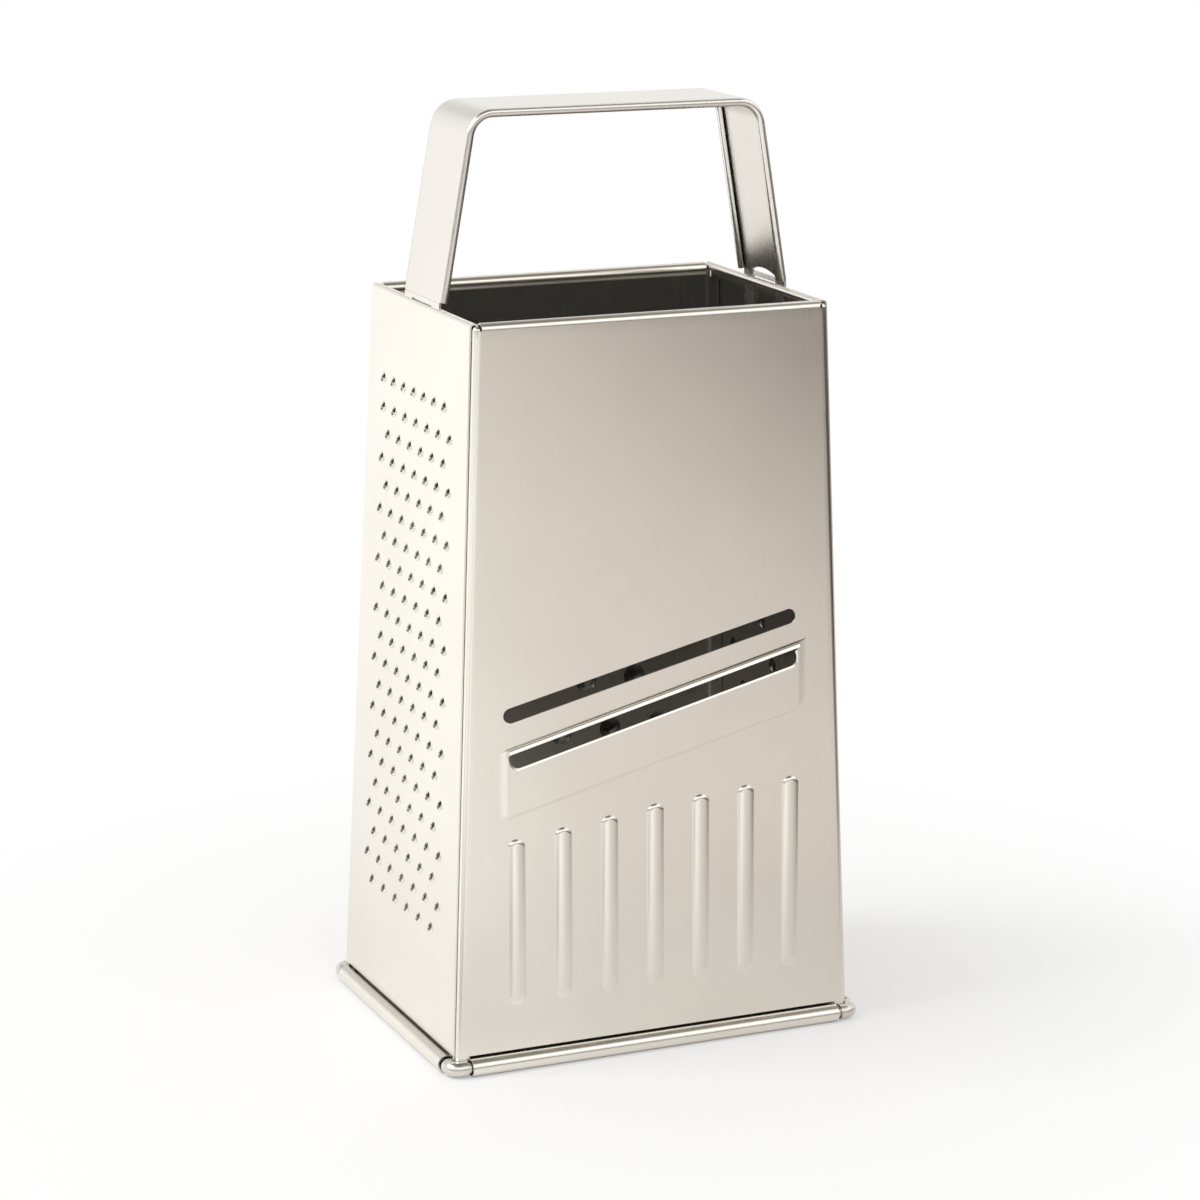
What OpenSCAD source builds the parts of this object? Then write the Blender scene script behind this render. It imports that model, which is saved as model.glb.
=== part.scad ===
// Four-sided tower grater: four stamped sheet walls, a wire ring in the rolled base and a strap handle.
// Millimetres. X runs along the slicing side, +Y goes to the coarse side, +Z up. The origin is the middle of the footprint.

/* [Tower] */
// Height from the table to the top of the handle
overall_h = 215; // [205:1:230]
// Height from the table to the rim
rim_h = 171; // [162:1:178]
// Width over the side walls at the table
base_w = 100; // [94:1:108]
// Depth over the front and back walls at the table
base_d = 73; // [70:1:80]
// Width over the side walls at the rim
rim_w = 87; // [84:1:92]
// Depth over the front and back walls at the rim
rim_d = 62.8; // [60:0.2:67]

/* [Sheet] */
// Thickness of the stamped sheet
sheet_t = 0.4; // [0.35:0.05:0.5]
// Outer radius of the upright corner bends
corner_r = 1.3; // [1:0.1:1.8]
// Width of the flange that each bend tucks behind the side wall
flange_w = 5; // [3:0.5:7]
// Gap between two lapped sheets
seam_gap = 0.05; // [0.03:0.01:0.08]

/* [Rolled rim] */
// Thickness of the rolled rim of the slicing and the coarse side
hem_d = 3.2; // [2.8:0.1:3.4]
// Thickness of the rolled rim of the side walls
side_hem_d = 2; // [1.9:0.1:2.2]
// Gap between the ends of neighbouring rims
hem_end_gap = 0.3; // [0.1:0.1:0.6]

/* [Rolled base] */
// Diameter of the wire in the base
wire_d = 3.2; // [2.8:0.1:3.5]
// Gap between the wire and the sheet curled round it
wire_gap = 0.1; // [0.05:0.05:0.15]
// Middle of the wire outside the wall at the table
wire_out = 0.55; // [0.3:0.05:0.8]
// Radius of the wire's corner bends, to its middle
wire_bend_r = 2; // [1.9:0.1:2.6]
// How far the curl stops short of the wire's straight ends
curl_short = 2.2; // [1.4:0.1:2.6]
// Depth of the flat worn on the underside of the curl
foot_flat = 0.1; // [0.05:0.05:0.15]
// Slit between the curl's edge and the wall
curl_slit = 0.6; // [0.4:0.1:0.9]
// Height where the wall starts to step in above the curl
step_top_h = 5.2; // [5:0.1:6]
// Height where the wall's step in ends
step_low_h = 4.2; // [4:0.1:4.5]
// Upper end of the notch that clears the base corners
notch_h = 4.7; // [4.5:0.1:4.9]

/* [Slicing side] */
// Rise of the upper slot's middle over the blade slot's
upper_slot_rise = 10.7; // [10:0.1:14]
// Width of the upper slot
upper_slot_w = 3.4; // [2.4:0.2:4]
// Tilt of the upper slot
upper_slot_tilt = 12.6; // [10:0.1:14]
// Height of the blade slot's middle
blade_slot_h = 80.5; // [79:0.5:90]
// Width of the blade slot
blade_slot_w = 4.4; // [3.6:0.1:4.4]
// Tilt of the blade slot
blade_slot_tilt = 13.2; // [12.8:0.1:13.6]
// Wall left beside the upper slot at the left
upper_left_margin = 9.6; // [9:0.2:13]
// Wall left beside the upper slot at the right
upper_right_margin = 11.2; // [9:0.2:13]
// Wall left beside the blade slot at the left
blade_left_margin = 12; // [11.4:0.2:13]
// Wall left beside the blade slot at the right
blade_right_margin = 10.2; // [9.6:0.2:13]
// Rise of the pressed step over the blade slot's middle
step_rise = 3.4; // [3.2:0.1:4.4]
// Tilt of the pressed step
step_tilt = 13.8; // [13.4:0.1:14.2]
// How far the step stands out
step_out = 1.3; // [1:0.1:1.6]
// Length of the ramp below the step
ramp_w = 14.4; // [13:0.2:15]
// Wall left beside the ramp at the left
ramp_left_margin = 9; // [8.6:0.2:9.6]
// Wall left beside the ramp at the right
ramp_right_margin = 7.6; // [7.2:0.2:8.4]

/* [Ribs] */
// Number of pressed ribs
rib_count = 7; // [5:1:7]
// Width of a rib
rib_w = 4.3; // [3.6:0.1:5]
// Height of a rib above the wall
rib_out = 0.9; // [0.7:0.1:1.2]
// Pitch of the ribs
rib_pitch = 11.45; // [10.6:0.05:11.6]
// Height of the ribs' lower ends
rib_low_h = 14.9; // [12:0.1:20]
// Height of the middle rib's upper end
rib_top_h = 58.4; // [54:0.2:60]
// Fall of the upper ends from rib to rib
rib_rise = 1.15; // [0.6:0.05:1.3]

/* [Fine side] */
// Height of the top row of holes
fine_top_h = 150.5; // [150:0.1:152]
// Height of the second row of holes
fine_second_h = 143.8; // [142:0.1:144.4]
// Distance between rows
fine_row_pitch = 5.97; // [5.6:0.01:6.1]
// Rows below the top one
fine_rows = 20; // [8:2:20]
// Holes in a full row
fine_holes = 7; // [5:1:7]
// Width of a fine hole
fine_hole_w = 2; // [1.6:0.1:2.2]
// Height of the burr round a fine hole
fine_burr_out = 0.6; // [0.4:0.1:0.8]
// Shift of the top row towards the coarse side
fine_top_shift = 2.05; // [1:0.05:2.5]

/* [Medium side] */
// Height of the top row of holes
medium_top_h = 136; // [130:1:140]
// Distance between rows
medium_row_pitch = 9.6; // [9:0.1:9.8]
// Number of rows
medium_rows = 13; // [7:2:13]
// Holes in a full row
medium_holes = 5; // [3:1:5]
// Width of a medium hole
medium_hole_w = 4.4; // [3.8:0.1:4.8]
// Height of the scoop over a medium hole
medium_burr_out = 1.1; // [0.8:0.1:1.4]

/* [Coarse side] */
// Height of the top row of holes
coarse_top_h = 134; // [130:1:138]
// Distance between rows
coarse_row_pitch = 12.8; // [12.4:0.1:13]
// Number of rows
coarse_rows = 9; // [5:2:9]
// Holes in a full row
coarse_holes = 6; // [4:1:6]
// Width of a coarse hole
coarse_hole_w = 6.6; // [5.8:0.1:7]
// Height of the scoop over a coarse hole
coarse_burr_out = 1.8; // [1.2:0.1:2.2]

/* [Handle] */
// Width of the strap
strap_w = 23; // [21:0.5:25]
// Thickness of the strap
strap_t = 0.5; // [0.4:0.05:0.6]
// Diameter of the rolled strap edges
roll_d = 1.9; // [1.7:0.1:2.2]
// Outer radius of the upper bends
handle_bend_r = 6.5; // [5:0.5:9]
// Lean of the legs
handle_lean = 9.7; // [8:0.1:11]
// Height of the bend above the rim, where the strap turns into the wall
knee_rise = 1; // [0.6:0.1:1.6]
// Height above the rim where the rolled edges stop
roll_rise = 2.2; // [2:0.1:4]
// Length of the feet below the rim
foot_len = 7; // [4:0.5:10]
// Width of the arched slot in the foot
arch_w = 11.8; // [10:0.2:13]
// Height of the arched slot above the rim
arch_h = 2.6; // [2.4:0.1:3]
// Length of the flap cut out of the arch and bent inwards
flap_len = 1.4; // [1:0.1:1.6]
// Bend of the flap
flap_turn = 58; // [45:1:65]
// Height above the rim where the arch and its flap start
flap_rise = 1.1; // [1:0.1:1.4]
// Gap between the foot and the rim's slits
foot_gap = 0.1; // [0.05:0.01:0.15]

/* [Hidden] */
$fn = 48;
// Overrun of every cut
over = 2;
// How far the corner bends go up beside the roll
bend_rise = 0.6;
// Grid for worked out places that edges share
grid = 0.001;
// Share of the wall's local width from one fine hole to the next
fine_pitch_share = 0.1063;
// The same in the top row
fine_top_pitch_share = 0.098;
medium_pitch_share = 0.158;
coarse_pitch_share = 0.136;
// Length of a hole's point above its middle, as a share of its width
hole_point_share = 0.62;
// Half width of that point where it leaves the round, as a share of the hole's width
hole_neck_share = 0.33;
// Width of a burr, as a share of the hole's width
burr_wall_share = 0.24;
// Drop of the burr's middle below the hole's middle, as a share of the hole's width
burr_drop_share = 0.12;
// Radius of the arched slot's top, as a share of its width
arch_round_share = 1.5;
// Half width of the flap, clear of the arch's ends
flap_side = arch_w / 2 - 0.2;

upper_slot_h = blade_slot_h + upper_slot_rise;
step_h = blade_slot_h + step_rise;
lean_fb = atan((base_d - rim_d) / 2 / rim_h);
lean_side = atan((base_w - rim_w) / 2 / rim_h);
curl_r = wire_d / 2 + wire_gap + sheet_t;
curl_h = curl_r - foot_flat;
wire_x = base_w / 2 + wire_out;
wire_y = base_d / 2 + wire_out;
fold_stack = sheet_t + seam_gap;
// Flat lead of a corner bend; half of it lies in the wall
bend_lead = flange_w / 4;
roll_r = roll_d / 2;
roll_y = strap_w / 2 - roll_r;

// Half depth or half width over the walls at a height
function half_d(z) = base_d / 2 - z * tan(lean_fb);
function half_w(z) = base_w / 2 - z * tan(lean_side);
// Distance along a leaning wall to a height
function up(z, lean) = z / cos(lean);
// A place rounded to the grid
function rounded(x) = round(x / grid) * grid;
// A place on a wall's section: out from its face and up along it
function on_section(half, lean, out, b) = [half + out * cos(lean) - b * sin(lean), out * sin(lean) + b * cos(lean)];
// Where a rolled rim starts, measured up along the wall
function hem_start(lean, roll) = (rim_h - roll / 2 * (1 - sin(lean))) / cos(lean);

// The strap's foot lies on the inside of the side walls; the knee is where the leg leaves it
knee = on_section(base_w / 2, lean_side, -sheet_t - foot_gap / 2, up(rim_h + knee_rise, lean_side));
knee_turn = handle_lean - lean_side;
bend_h = overall_h - handle_bend_r;
bend_x = (knee[0] * cos(handle_lean) + knee[1] * sin(handle_lean) - handle_bend_r - bend_h * sin(handle_lean)) / cos(handle_lean);
leg_len = norm([bend_x, bend_h] + handle_bend_r * [cos(handle_lean), sin(handle_lean)] - knee);
flat_len = (roll_rise - knee_rise) / cos(handle_lean);
// The strap is drawn in by this much where it bends
bend_draw = 0.01;
// The bends run this much further into the legs and the grip, in degrees
bend_lap = 2;

// Section through a wall: x out from its face, y up along it, from the curl round the wire to the rolled rim
module wall_section(lean, roll) {
    hem_b = hem_start(lean, roll);
    hem_r = roll / 2;
    curl = [rounded(wire_out * cos(lean) + curl_h * sin(lean)), curl_h * cos(lean) - wire_out * sin(lean)];
    polygon([
        curl - [curl_r, 0],
        curl - [curl_r - sheet_t, 0],
        [curl[0] - curl_r + sheet_t, step_low_h],
        [0, step_top_h],
        [0, hem_b],
        [-sheet_t, hem_b],
        [-sheet_t, step_top_h + sheet_t / 2],
        [curl[0] - curl_r, step_low_h + sheet_t / 2]
    ]);
    translate(curl)
        difference() {
            circle(curl_r);
            circle(curl_r - sheet_t);
            translate([-curl_r - over, 0])
                square([over + sheet_t + curl_slit, curl_r + over]);
        }
    translate([-hem_r, hem_b])
        difference() {
            circle(hem_r);
            circle(hem_r - sheet_t);
            translate([0, -hem_r - over])
                square([hem_r + over, hem_r + over]);
        }
}

// Outline of a wall seen square on: the curl and the rim are narrower than the sheet between them
module wall_outline(edge_low, edge_high, curl_half, hem_half, roll) {
    hem_z = rim_h - roll - sheet_t;
    polygon([
        [-curl_half, 0],
        [curl_half, 0],
        [curl_half, notch_h],
        [edge_low, notch_h],
        [edge_low + (edge_high - edge_low) * (hem_z - notch_h) / (rim_h - notch_h), hem_z],
        [hem_half, hem_z],
        [hem_half, rim_h + over],
        [-hem_half, rim_h + over],
        [-hem_half, hem_z],
        [-edge_low - (edge_high - edge_low) * (hem_z - notch_h) / (rim_h - notch_h), hem_z],
        [-edge_low, notch_h],
        [-curl_half, notch_h]
    ]);
}

// A plain wall that faces +X
module wall(half, lean, edge_low, edge_high, curl_half, hem_half, roll) {
    intersection() {
        translate([half, 0, 0])
            rotate([0, -lean, 0])
                rotate([90, 0, 0])
                    linear_extrude(height = 2 * (edge_low + over), center = true)
                        wall_section(lean, roll);
        rotate([90, 0, 90])
            linear_extrude(height = half + curl_r + over)
                wall_outline(edge_low, edge_high, curl_half, hem_half, roll);
    }
}

// Lays a flat drawing on the outside of a wall that faces +X: right is +Y, up is up the wall
module on_wall(half, lean) {
    translate([half, 0, 0])
        rotate([0, -lean, 0])
            rotate([90, 0, 90])
                children();
}

// Section through an upright corner: the bend, with a short lead into the wall
module bend_section() {
    translate([corner_r, -corner_r])
        difference() {
            circle(corner_r);
            circle(corner_r - sheet_t);
            translate([0, -corner_r - over])
                square([corner_r + over, 2 * (corner_r + over)]);
            translate([-corner_r - over, -corner_r - over])
                square([corner_r + 2 * over, corner_r + over]);
        }
    translate([corner_r, -sheet_t])
        square([bend_lead, sheet_t]);
}

// The same with the flange that is tucked behind the side wall
module corner_section() {
    bend_section();
    translate([0, -corner_r - flange_w])
        square([sheet_t, flange_w]);
}

// The upright corner at the +Y end of a wall that faces +X: the bend stands on the wire, the flange starts above the curl
module corner_bend(half, lean) {
    turn = atan(tan(lean_side) * cos(lean));
    foot = up(curl_h + wire_d / 2 + wire_gap, lean);
    low = up(step_top_h + sheet_t, lean);
    high = up(rim_h - hem_d - sheet_t, lean);
    translate([half, base_w / 2 - fold_stack / cos(turn), 0])
        rotate([0, -lean, 0])
            rotate([turn, 0, 0])
                rotate([0, 0, -90]) {
                    translate([0, 0, foot])
                        linear_extrude(height = low - foot)
                            bend_section();
                    translate([0, 0, low])
                        linear_extrude(height = high - low)
                            corner_section();
                    translate([0, 0, high])
                        linear_extrude(height = hem_start(lean, hem_d) + bend_rise - high)
                            bend_section();
                }
}

// Outline of one grating hole: round below, pointed above
module hole_outline(w) {
    circle(d = w);
    polygon([
        [-w * hole_neck_share, w * hole_neck_share],
        [w * hole_neck_share, w * hole_neck_share],
        [0, w * hole_point_share]
    ]);
}

// Outline of the burr or scoop that stands out round the lower half of a hole
module burr_outline(w) {
    translate([0, -w * burr_drop_share])
        difference() {
            circle(w * (1 / 2 + burr_wall_share));
            translate([-w - over, w * burr_drop_share])
                square([2 * (w + over), w + over]);
        }
}

// One row of drawings, centred
module row(count, pitch) {
    for (i = [0 : count - 1])
        translate([(i - (count - 1) / 2) * pitch, 0])
            children();
}

// Staggered rows down a wall, each spaced by its own share of the local width
module staggered(base, rim, lean, rows, top_h, row_pitch, count, pitch_share) {
    for (k = [0 : rows - 1])
        translate([0, up(top_h - k * row_pitch, lean)])
            row(count - k % 2, pitch_share * (base - (base - rim) * (top_h - k * row_pitch) / rim_h))
                children();
}

module fine_pattern() {
    translate([-fine_top_shift, up(fine_top_h, lean_side)])
        row(fine_holes, fine_top_pitch_share * 2 * half_d(fine_top_h))
            children();
    staggered(base_d, rim_d, lean_side, fine_rows, fine_second_h, fine_row_pitch, fine_holes, fine_pitch_share)
        children();
}

module medium_pattern() {
    staggered(base_d, rim_d, lean_side, medium_rows, medium_top_h, medium_row_pitch, medium_holes, medium_pitch_share)
        children();
}

module coarse_pattern() {
    staggered(base_w, rim_w, lean_fb, coarse_rows, coarse_top_h, coarse_row_pitch, coarse_holes, coarse_pitch_share)
        children();
}

// A slot with round ends
module slot_outline(len, w) {
    square([len - w, w], center = true);
    for (side = [-1, 1])
        translate([side * (len - w) / 2, 0])
            circle(d = w);
}

// A slot across the slicing side between its two margins
module across_slot(h, w, tilt, left_margin, right_margin) {
    left = -half_w(h) + left_margin;
    right = half_w(h) - right_margin;
    translate([(left + right) / 2, up(h + (left + right) / 2 * tan(tilt), lean_fb)])
        rotate(tilt)
            slot_outline((right - left) / cos(tilt), w);
}

// Wedge that stands out at the step and runs back into the wall below it
module ramp(inset) {
    left = (-half_w(step_h) + ramp_left_margin) / cos(step_tilt) + inset;
    len = (half_w(step_h) - ramp_right_margin) / cos(step_tilt) - inset - left;
    translate([0, up(step_h, lean_fb), 0])
        rotate(step_tilt)
            translate([left, 0, 0])
                rotate([90, 0, 90])
                    linear_extrude(height = len)
                        polygon([
                            [-inset, -sheet_t / 2 - inset / sheet_t * over],
                            [-inset, step_out - inset],
                            [-ramp_w + inset, -inset],
                            [-ramp_w + inset, -sheet_t / 2 - inset / sheet_t * over]
                        ]);
}

// Upper end of rib number i, counted from the middle one
function rib_top(i) = rib_top_h + i * rib_rise - abs(i) * rib_rise / 4;

// The ribs, drawn smaller all round by an inset
module ribs_outline(inset) {
    for (i = [-(rib_count - 1) / 2 : (rib_count - 1) / 2])
        translate([i * rib_pitch, up((rib_top(i) + rib_low_h) / 2, lean_fb)])
            rotate(90)
                slot_outline(rib_top(i) - rib_low_h - 2 * inset, rib_w - 2 * inset);
}

// A front or back wall without its corner bends, facing +X
module wide_wall() {
    edge = fold_stack + corner_r + bend_lead / 2;
    wall(base_d / 2, lean_fb, half_w(notch_h) - edge, half_w(rim_h) - edge,
        wire_x - wire_bend_r - curl_short, half_w(rim_h) - side_hem_d - hem_end_gap, hem_d);
}

// The two corner bends of a front or back wall
module corner_bends() {
    for (side = [0, 1])
        mirror([0, side, 0])
            corner_bend(base_d / 2, lean_fb);
}

// A side wall, facing +X: its upright edges stop where the corner bends start
module side_wall() {
    edge = corner_r + seam_gap;
    difference() {
        wall(base_w / 2, lean_side, half_d(notch_h) - edge, half_d(rim_h) - edge,
            wire_y - wire_bend_r - curl_short, half_d(rim_h) - edge, side_hem_d);
        for (side = [-1, 1])
            foot_slit(side);
    }
}

// Slit in the rolled rim of a side wall where one half of the strap's foot goes down
module foot_slit(side) {
    inner = arch_w / 2 - foot_gap;
    outer = roll_y + foot_gap;
    on_wall(base_w / 2, lean_side)
        translate([side * (inner + outer) / 2, hem_start(lean_side, side_hem_d) - side_hem_d - over, -sheet_t - strap_t - 2 * foot_gap])
            translate([-(outer - inner) / 2, 0, 0])
                cube([outer - inner, 2 * (side_hem_d + over), strap_t + 2 * foot_gap]);
}

module front_panel() {
    color([0.80, 0.77, 0.73])
        rotate([0, 0, -90]) {
            difference() {
                union() {
                    wide_wall();
                    on_wall(base_d / 2, lean_fb) {
                        ramp(0);
                        translate([0, 0, -sheet_t / 2])
                            linear_extrude(height = sheet_t / 2 + rib_out)
                                ribs_outline(0);
                    }
                }
                on_wall(base_d / 2, lean_fb) {
                    ramp(sheet_t);
                    translate([0, 0, -sheet_t - over])
                        linear_extrude(height = over + rib_out)
                            ribs_outline(sheet_t);
                    translate([0, 0, -sheet_t - over])
                        linear_extrude(height = 2 * over + sheet_t + step_out) {
                            across_slot(upper_slot_h, upper_slot_w, upper_slot_tilt, upper_left_margin, upper_right_margin);
                            across_slot(blade_slot_h, blade_slot_w, blade_slot_tilt, blade_left_margin, blade_right_margin);
                        }
                }
            }
            corner_bends();
        }
}

// A pierced wall: the pattern's burrs are added, then its holes are cut
module burrs(half, lean, burr_out) {
    on_wall(half, lean)
        translate([0, 0, -sheet_t / 2])
            linear_extrude(height = sheet_t / 2 + burr_out)
                children();
}

module holes(half, lean) {
    on_wall(half, lean)
        translate([0, 0, -sheet_t - over])
            linear_extrude(height = sheet_t + 2 * over)
                children();
}

module left_panel() {
    color([0.93, 0.92, 0.88])
        rotate([0, 0, 180])
            difference() {
                union() {
                    side_wall();
                    burrs(base_w / 2, lean_side, fine_burr_out)
                        fine_pattern()
                            burr_outline(fine_hole_w);
                }
                holes(base_w / 2, lean_side)
                    fine_pattern()
                        hole_outline(fine_hole_w);
            }
}

module right_panel() {
    color([0.62, 0.60, 0.57])
        difference() {
            union() {
                side_wall();
                burrs(base_w / 2, lean_side, medium_burr_out)
                    medium_pattern()
                        burr_outline(medium_hole_w);
            }
            holes(base_w / 2, lean_side)
                medium_pattern()
                    hole_outline(medium_hole_w);
        }
}

module back_panel() {
    color([0.62, 0.60, 0.57])
        rotate([0, 0, 90]) {
            difference() {
                union() {
                    wide_wall();
                    burrs(base_d / 2, lean_fb, coarse_burr_out)
                        coarse_pattern()
                            burr_outline(coarse_hole_w);
                }
                holes(base_d / 2, lean_fb)
                    coarse_pattern()
                        hole_outline(coarse_hole_w);
            }
            corner_bends();
        }
}

module base_wire() {
    run_x = wire_x - wire_bend_r;
    run_y = wire_y - wire_bend_r;
    color([0.75, 0.74, 0.72])
        translate([0, 0, curl_h]) {
            for (side = [-1, 1]) {
                translate([-run_x, side * wire_y, 0])
                    rotate([0, 90, 0])
                        cylinder(h = 2 * run_x, d = wire_d);
                translate([side * wire_x, run_y, 0])
                    rotate([90, 0, 0])
                        cylinder(h = 2 * run_y, d = wire_d);
            }
            for (quarter = [0 : 3])
                translate([(quarter == 0 || quarter == 3 ? 1 : -1) * run_x, (quarter < 2 ? 1 : -1) * run_y, 0])
                    rotate(quarter * 90)
                        rotate_extrude(angle = 90)
                            translate([wire_bend_r, 0])
                                circle(d = wire_d);
        }
}

// Section through the strap: x runs into the loop, y across; both edges are rolled inwards, all drawn in by an inset
module strap_section(inset = 0) {
    translate([inset, -roll_y])
        square([strap_t - 2 * inset, 2 * roll_y]);
    for (side = [0, 1])
        mirror([0, side])
            translate([roll_r, roll_y])
                difference() {
                    circle(roll_r - inset);
                    circle(roll_r - strap_t + inset);
                    translate([-roll_r - over, -roll_r - over])
                        square([roll_r + over, roll_r + over]);
                }
}

// One leg with its foot, on +X, in a frame that leans with the leg and starts at the middle of its bend
module leg() {
    corner = [handle_bend_r, -leg_len];
    down = [-sin(knee_turn), -cos(knee_turn)];
    inward = [-cos(knee_turn), sin(knee_turn)];
    translate([0, roll_y, 0])
        rotate([90, 0, 0])
            linear_extrude(height = 2 * roll_y)
                polygon([
                    corner,
                    corner + [0, flat_len],
                    corner + [-strap_t, flat_len],
                    corner + strap_t * [-1, tan(knee_turn / 2)],
                    corner + strap_t * inward + (knee_rise + foot_len) * down,
                    corner + (knee_rise + foot_len) * down
                ]);
    translate([handle_bend_r, 0, flat_len - leg_len])
        mirror([1, 0, 0])
            linear_extrude(height = leg_len - flat_len)
                strap_section();
}

// Half of the strap, on +X: leg, bend and half of the grip
module half_strap() {
    translate([bend_x, 0, bend_h]) {
        rotate([0, -handle_lean, 0])
            leg();
        rotate([90, 0, 0])
            rotate_extrude(angle = 90 - handle_lean + 2 * bend_lap, start = handle_lean - bend_lap)
                translate([handle_bend_r, 0])
                    mirror([1, 0])
                        strap_section(bend_draw);
        translate([-bend_x, 0, handle_bend_r])
            rotate([0, 90, 0])
                linear_extrude(height = bend_x)
                    strap_section();
    }
}

// Cuts in the foot: the arch, and the slot below it that lets the rolled rim pass
module arch() {
    rotate([90, 0, 90])
        linear_extrude(height = base_w) {
            intersection() {
                translate([0, rim_h + arch_h - arch_w * arch_round_share])
                    circle(arch_w * arch_round_share);
                translate([-arch_w / 2, rim_h + flap_rise])
                    square([arch_w, arch_h + over]);
            }
            translate([-arch_w / 2, rim_h - foot_len - over])
                square([arch_w, foot_len + over + 2 * foot_gap]);
        }
}

// The flap, bent inwards over the rim; it starts in the strip that the two cuts leave
module flap() {
    root = on_section(base_w / 2, lean_side, -sheet_t - foot_gap / 2 - strap_t, up(rim_h + flap_rise, lean_side));
    along = [-sin(flap_turn), cos(flap_turn)];
    out = [cos(flap_turn), sin(flap_turn)];
    translate([0, flap_side, 0])
        rotate([90, 0, 0])
            linear_extrude(height = 2 * flap_side)
                polygon([
                    root + strap_t * [0.7, -0.8],
                    root + strap_t * [0.7, 0] + strap_t / 2 * out,
                    root + flap_len * along + strap_t * out,
                    root + flap_len * along,
                    root + strap_t * [0.2, -0.8]
                ]);
}

module handle() {
    color([0.82, 0.80, 0.76])
        for (side = [0, 1])
            mirror([side, 0, 0])
                union() {
                    difference() {
                        half_strap();
                        arch();
                    }
                    flap();
                }
}

front_panel();
left_panel();
back_panel();
right_panel();
base_wire();
handle();
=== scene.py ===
# Looks of a four-sided tower grater: pierced and pressed sheet walls, a wired base and a strap handle
import math

import bmesh
import bpy
from mathutils import Matrix, Vector


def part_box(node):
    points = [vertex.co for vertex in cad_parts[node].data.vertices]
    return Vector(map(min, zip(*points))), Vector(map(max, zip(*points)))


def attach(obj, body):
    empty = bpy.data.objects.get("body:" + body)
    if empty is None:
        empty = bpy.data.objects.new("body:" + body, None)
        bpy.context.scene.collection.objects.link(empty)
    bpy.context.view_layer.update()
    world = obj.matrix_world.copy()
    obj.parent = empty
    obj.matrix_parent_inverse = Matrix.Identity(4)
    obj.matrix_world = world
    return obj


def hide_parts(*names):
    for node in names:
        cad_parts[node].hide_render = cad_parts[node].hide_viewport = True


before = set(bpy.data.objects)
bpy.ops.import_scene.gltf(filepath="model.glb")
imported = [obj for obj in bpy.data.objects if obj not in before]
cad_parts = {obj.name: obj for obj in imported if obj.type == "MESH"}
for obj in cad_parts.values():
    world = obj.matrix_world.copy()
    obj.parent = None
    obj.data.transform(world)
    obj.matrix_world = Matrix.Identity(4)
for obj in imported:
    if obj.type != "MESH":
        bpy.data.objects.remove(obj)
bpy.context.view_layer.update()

MM = 0.001
EPS = 0.01 * MM
LOOSE = 10 * EPS
CORNER_STEPS = 8

# Tower
RIM_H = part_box("left_panel")[1].z
BASE_W = 100 * MM
BASE_D = 73 * MM
RIM_W = 87 * MM
RIM_D = 62.8 * MM
SHEET = 0.4 * MM
CORNER_R = 1.3 * MM
FLANGE_W = 5 * MM
BEND_STEPS = 6
BEND_BAND = CORNER_R / 8
BEND_TOP = ((0.35 * MM, 0.94), (0.35 * MM, 0.8), (0.15 * MM, 0.7))
SEAM_GAP = 0.05 * MM
LEAN_WIDE = math.atan((BASE_D - RIM_D) / 2 / RIM_H)
LEAN_SIDE = math.atan((BASE_W - RIM_W) / 2 / RIM_H)

# Rolled rim
WIDE_HEM_R = 1.6 * MM
SIDE_HEM_R = 1 * MM
HEM_END_GAP = 0.3 * MM
HEM_STEPS = 24
SLIT_H = 5 * SIDE_HEM_R

# Rolled base
WIRE_R = 1.6 * MM
WIRE_GAP = 0.1 * MM
WIRE_BEND_R = 2 * MM
WIRE_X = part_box("base_wire")[1].x - WIRE_R
WIRE_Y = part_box("base_wire")[1].y - WIRE_R
WIRE_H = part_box("base_wire")[1].z - WIRE_R
WIRE_OUT = WIRE_X - BASE_W / 2
CURL_IN = WIRE_R + WIRE_GAP
CURL_SHORT = 2.2 * MM
CURL_SWEEP = math.radians(305)
CURL_STEPS = 22
STEP_TOP_H = 4.55 * MM
STEP_LOW_H = 4.2 * MM
STEP_PARTS = 6
FOOT_H = WIRE_H + CURL_IN
ELBOW_OUT = 0.15 * MM
ELBOW_SHORT = 0.95 * MM
ELBOW_TAPER = 0.2 * MM
WIRE_HIDDEN = 0.35 * MM

# Slicing side
UPPER_SLOT_H = 91 * MM
UPPER_SLOT_W = 3.5 * MM
UPPER_SLOT_TILT = math.radians(13.1)
UPPER_MARGINS = (9.4 * MM, 11.2 * MM)
UPPER_EDGE = 0.05 * MM
BLADE_SLOT_H = 80.7 * MM
BLADE_SLOT_W = 4.1 * MM
BLADE_SLOT_TILT = math.radians(13.75)
BLADE_MARGINS = (11.4 * MM, 11.2 * MM)
BLADE_TOP_R = 0.8 * MM
BLADE_LOW_R = 2 * MM
BLADE_EDGE = 0.42 * MM
BLADE_DROP = 0.18 * MM
SLOT_CUT = 4 * MM
PRESS_CUT = 2 * MM
STEP_H = 83.7 * MM
STEP_OUT = 1.4 * MM
STEP_FOOT = 0.34 * MM
STEP_ROUND = 0.2 * MM
LIP = 0.8 * MM
LIP_DROP = 0.4 * MM
POCKET_MARGINS = (8.2 * MM, 8.4 * MM)
POCKET_H = 16.4 * MM
POCKET_SPARE = 5 * MM
POCKET_R = 3 * MM
POCKET_SOFT = 2.4 * MM
POCKET_OUT = 0.13 * MM
POCKET_LEAN = 0.55
POCKET_STEPS = ((0.3, 0.08), (0.25, 0.35), (0.25, 0.4), (0.2, 0.17))
RIB_COUNT = 7
RIB_W = 4.3 * MM
RIB_OUT = 0.65 * MM
RIB_LEAN = 0.55
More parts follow.
